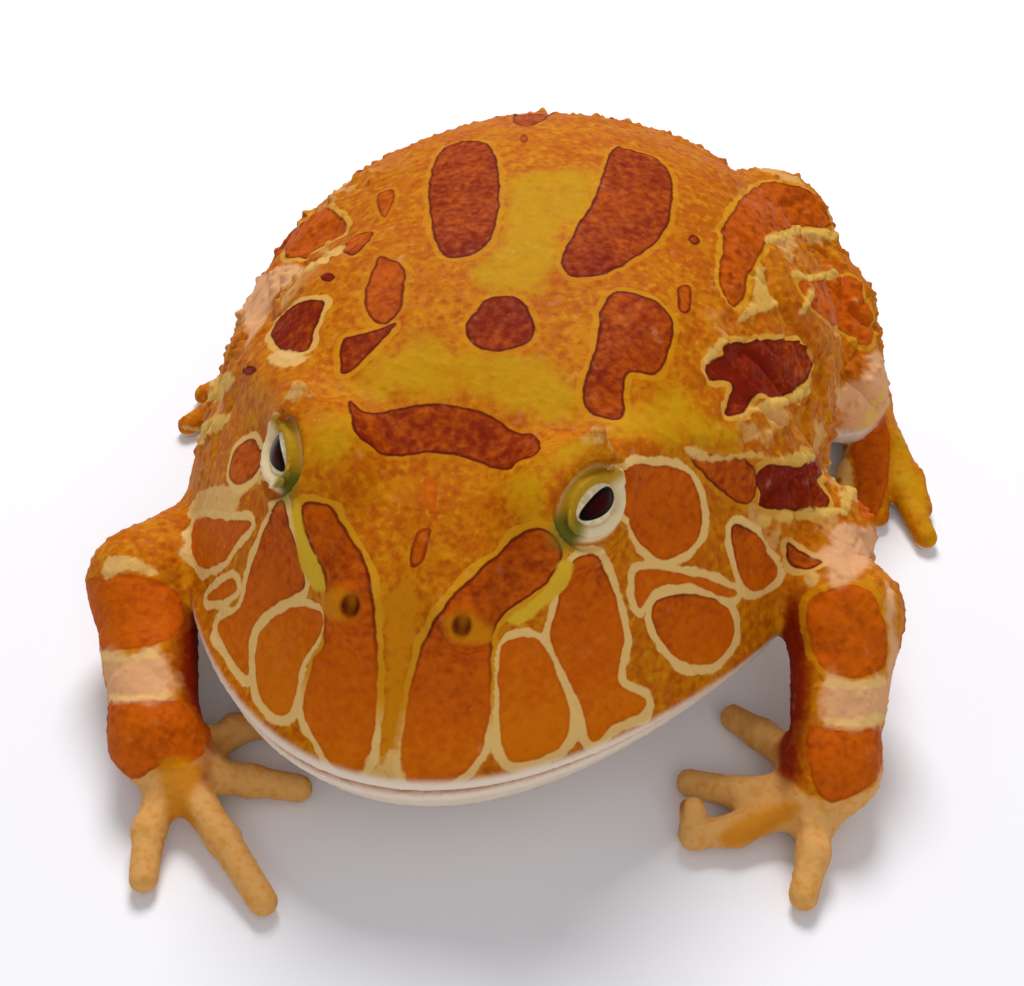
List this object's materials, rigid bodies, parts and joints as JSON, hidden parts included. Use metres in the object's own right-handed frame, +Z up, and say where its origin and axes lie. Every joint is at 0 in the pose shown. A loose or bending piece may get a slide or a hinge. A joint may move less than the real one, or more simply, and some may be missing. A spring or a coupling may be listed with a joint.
{
  "type": "argentine horned frog model",
  "caption": "Life-size still model of a squat horned frog sitting with its forelegs bent and its toes spread, orange with brown marks.",
  "frame": {"origin": "middle of the frog's outline seen from above, on the floor it sits on", "axes": "-Y the way the frog faces, +X to the frog's left, +Z up"},
  "size_m": [0.0894, 0.1014, 0.0405],
  "materials": {
    "skin": "moist, finely granular",
    "lips": "moist, smooth",
    "fingers": "moist, smooth",
    "eye": "wet and glossy"
  },
  "bodies": {
    "root": {"head": "skin", "lower_jaw": "lips", "eyelid_horn_left": "skin", "eyelid_horn_right": "skin", "eye_left": "eye", "eye_right": "eye", "torso": "skin", "upper_arm_left": "skin", "upper_arm_right": "skin", "forearm_left": "skin", "forearm_right": "skin", "hand_left": "fingers", "hand_right": "fingers", "thigh_left": "skin", "thigh_right": "skin", "shank_left": "skin", "shank_right": "skin", "foot_left": "skin", "foot_right": "skin"}
  },
  "joints": []
}
